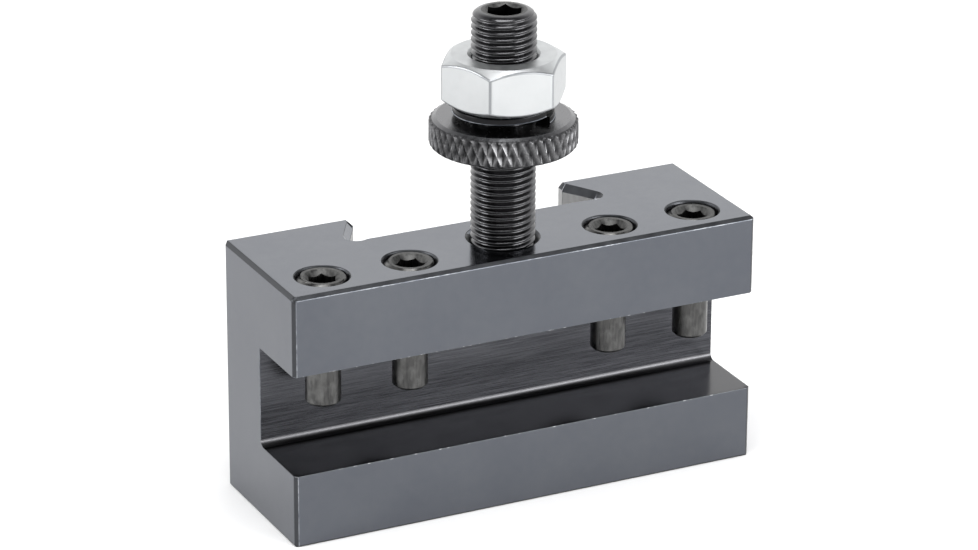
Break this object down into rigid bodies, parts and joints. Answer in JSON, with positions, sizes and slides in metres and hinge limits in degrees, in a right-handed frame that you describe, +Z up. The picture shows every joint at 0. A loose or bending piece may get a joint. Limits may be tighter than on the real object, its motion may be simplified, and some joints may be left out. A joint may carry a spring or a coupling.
{
  "type": "turning and facing tool holder",
  "caption": "Steel tool holder block for a quick change tool post, with a tool slot under clamp screws, a dovetail groove behind and a knurled height nut on a stud.",
  "frame": {"origin": "centre of the block's bottom face", "axes": "+Z up along the stud, X along the tool shank, -Y towards the tool slot, +Y towards the dovetail groove"},
  "size_m": [0.077, 0.0276, 0.076],
  "materials": {
    "body_steel": "ground steel, black oxide, satin blue-grey",
    "screw_steel": "black oxide, worn to bare steel on the rims and pilots",
    "stud_steel": "black oxide, oiled, glossy",
    "knurled_steel": "black oxide, oiled, bright on the knurl's crests",
    "washer_steel": "black spring steel, oiled",
    "zinc_plate": "bright zinc plate, faintly blue"
  },
  "bodies": {
    "holder": {"holder_body": "body_steel", "height_stud": "stud_steel"},
    "clamp_screw_1": {"clamp_screw_1": "screw_steel"},
    "clamp_screw_2": {"clamp_screw_2": "screw_steel"},
    "clamp_screw_3": {"clamp_screw_3": "screw_steel"},
    "clamp_screw_4": {"clamp_screw_4": "screw_steel"},
    "lock_washer": {"lock_washer": "washer_steel"},
    "height_nut": {"height_nut": "knurled_steel"},
    "lock_nut": {"lock_nut": "zinc_plate"}
  },
  "joints": [
    {"name": "clamp_screw_1_travel", "type": "slide", "parent": "holder", "child": "clamp_screw_1", "axis": [0, 0, 1], "range_m": [-0.0075, 0.0075]},
    {"name": "clamp_screw_2_travel", "type": "slide", "parent": "holder", "child": "clamp_screw_2", "axis": [0, 0, 1], "range_m": [-0.0075, 0.0075]},
    {"name": "clamp_screw_3_travel", "type": "slide", "parent": "holder", "child": "clamp_screw_3", "axis": [0, 0, 1], "range_m": [-0.0075, 0.0075]},
    {"name": "clamp_screw_4_travel", "type": "slide", "parent": "holder", "child": "clamp_screw_4", "axis": [0, 0, 1], "range_m": [-0.0075, 0.0075]},
    {"name": "height_travel", "type": "slide", "parent": "holder", "child": "lock_washer", "axis": [0, 0, 1], "range_m": [-0.0145, 0.0035]},
    {"name": "height_nut_turn", "type": "hinge", "parent": "lock_washer", "child": "height_nut", "pos_m": [0, -0.0037, 0.0572], "axis": [0, 0, 1], "range_deg": [-5240, 1280]},
    {"name": "lock_nut_back_off", "type": "slide", "parent": "height_nut", "child": "lock_nut", "axis": [0, 0, 1], "range_m": [0, 0.003]}
  ],
  "couplings": [
    {"joint": "height_nut_turn", "follows": "height_travel", "rad_per_m": 6283.2}
  ]
}
